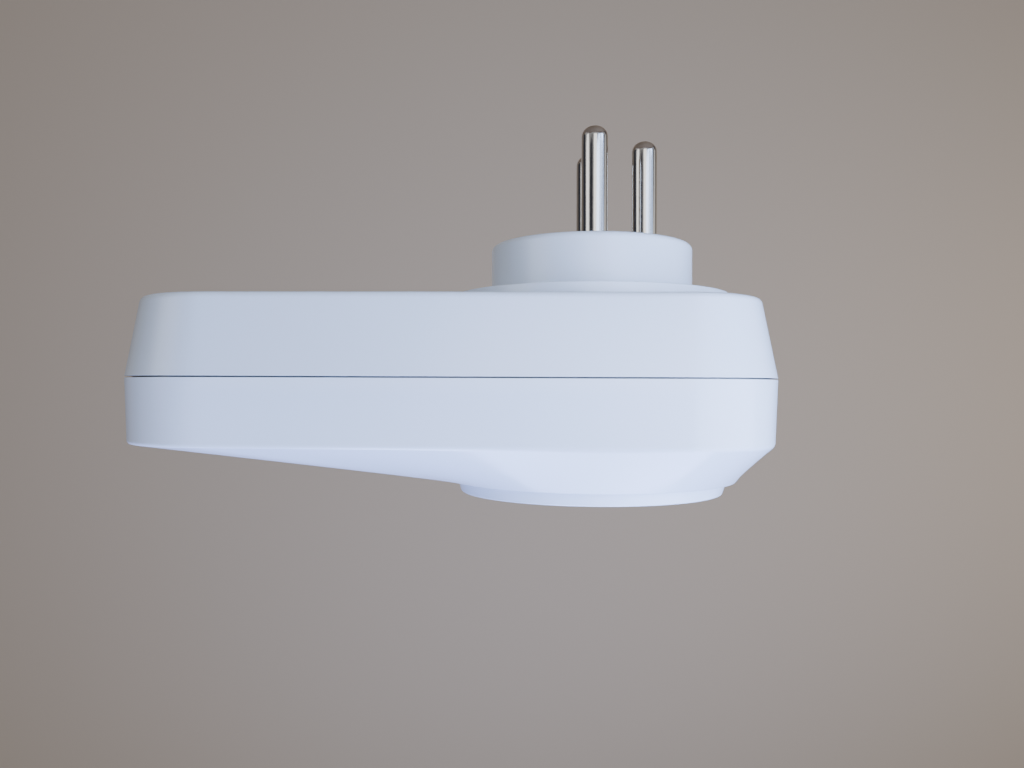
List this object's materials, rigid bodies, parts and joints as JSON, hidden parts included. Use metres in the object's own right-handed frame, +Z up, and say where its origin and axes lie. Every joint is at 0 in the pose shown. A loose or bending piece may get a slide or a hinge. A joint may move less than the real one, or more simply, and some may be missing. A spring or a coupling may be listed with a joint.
{
  "type": "smart plug",
  "caption": "Plug-through wall smart plug: round-pin plug boss behind, recessed round socket in front, tapering case with push button and status light.",
  "frame": {"origin": "middle of the plug face, midway between the line and neutral pins, where the boss meets the wall socket", "axes": "+Y along the pins into the wall, +Z up the tail of the case, away from the earth pin, +X completes a right-handed frame"},
  "size_m": [0.059, 0.0624, 0.1061],
  "materials": {
    "case_plastic": "satin",
    "button_plastic": "satin",
    "zinc_steel": "satin",
    "nickel_plate": "polished",
    "black_nylon": "matte",
    "contact_brass": "satin",
    "shutter_plastic": "matte",
    "spring_steel": "satin",
    "board_laminate": "satin",
    "relay_plastic": "gloss",
    "coil_winding": "satin",
    "soft_iron": "satin",
    "capacitor_box": "satin",
    "varistor_coat": "matte",
    "fuse_case": "matte",
    "capacitor_can": "satin",
    "ferrite": "matte",
    "chip_resin": "matte",
    "radio_laminate": "satin",
    "shield_tin": "satin",
    "switch_plastic": "matte",
    "led_body": "gloss",
    "clear_plastic": "gloss"
  },
  "bodies": {
    "case": {"front_shell": "case_plastic", "rear_shell": "case_plastic", "plug_base": "case_plastic", "socket_insert": "case_plastic", "case_screws": "zinc_steel", "retainer_screws": "zinc_steel", "insert_screws": "zinc_steel", "board_screws": "zinc_steel", "line_pin": "nickel_plate", "neutral_pin": "nickel_plate", "earth_pin": "nickel_plate", "pin_retainer": "black_nylon", "contact_block": "black_nylon", "contact_cover": "black_nylon", "line_busbar": "contact_brass", "neutral_busbar": "contact_brass", "earth_strap": "contact_brass", "line_contact": "contact_brass", "neutral_contact": "contact_brass", "earth_contact": "contact_brass", "shutter_spring": "spring_steel", "main_board": "board_laminate", "relay_base": "relay_plastic", "relay_cover": "relay_plastic", "relay_coil": "coil_winding", "relay_yoke": "soft_iron", "relay_fixed_contact": "contact_brass", "film_capacitor": "capacitor_box", "varistor": "varistor_coat", "fuse": "fuse_case", "bulk_capacitors": "capacitor_can", "inductor": "ferrite", "rectifier": "chip_resin", "power_chip": "chip_resin", "wifi_board": "radio_laminate", "wifi_shield": "shield_tin", "wifi_antenna": "contact_brass", "switch_body": "switch_plastic", "led": "led_body", "light_guide": "clear_plastic"},
    "button": {"button_cap": "button_plastic"},
    "plunger": {"switch_plunger": "switch_plastic"},
    "shutter": {"safety_shutter": "shutter_plastic"},
    "armature": {"relay_armature": "soft_iron"}
  },
  "joints": [
    {"name": "button_press", "type": "slide", "parent": "case", "child": "button", "axis": [0, 1, 0], "range_m": [0, 0.0005], "stiffness_N_per_m": 2000},
    {"name": "switch_press", "type": "slide", "parent": "case", "child": "plunger", "axis": [0, 1, 0], "range_m": [0, 0.0005]},
    {"name": "shutter_slide", "type": "slide", "parent": "case", "child": "shutter", "axis": [0, 0, 1], "range_m": [0, 0.0058], "stiffness_N_per_m": 150, "deforming": ["shutter_spring"]},
    {"name": "armature_tilt", "type": "hinge", "parent": "case", "child": "armature", "pos_m": [-0.01425, -0.0285, 0.0432], "axis": [1, 0, 0], "range_deg": [0, 3.2], "stiffness_Nm_per_rad": 0.02}
  ],
  "couplings": [
    {"joint": "switch_press", "follows": "button_press", "ratio": 1}
  ]
}
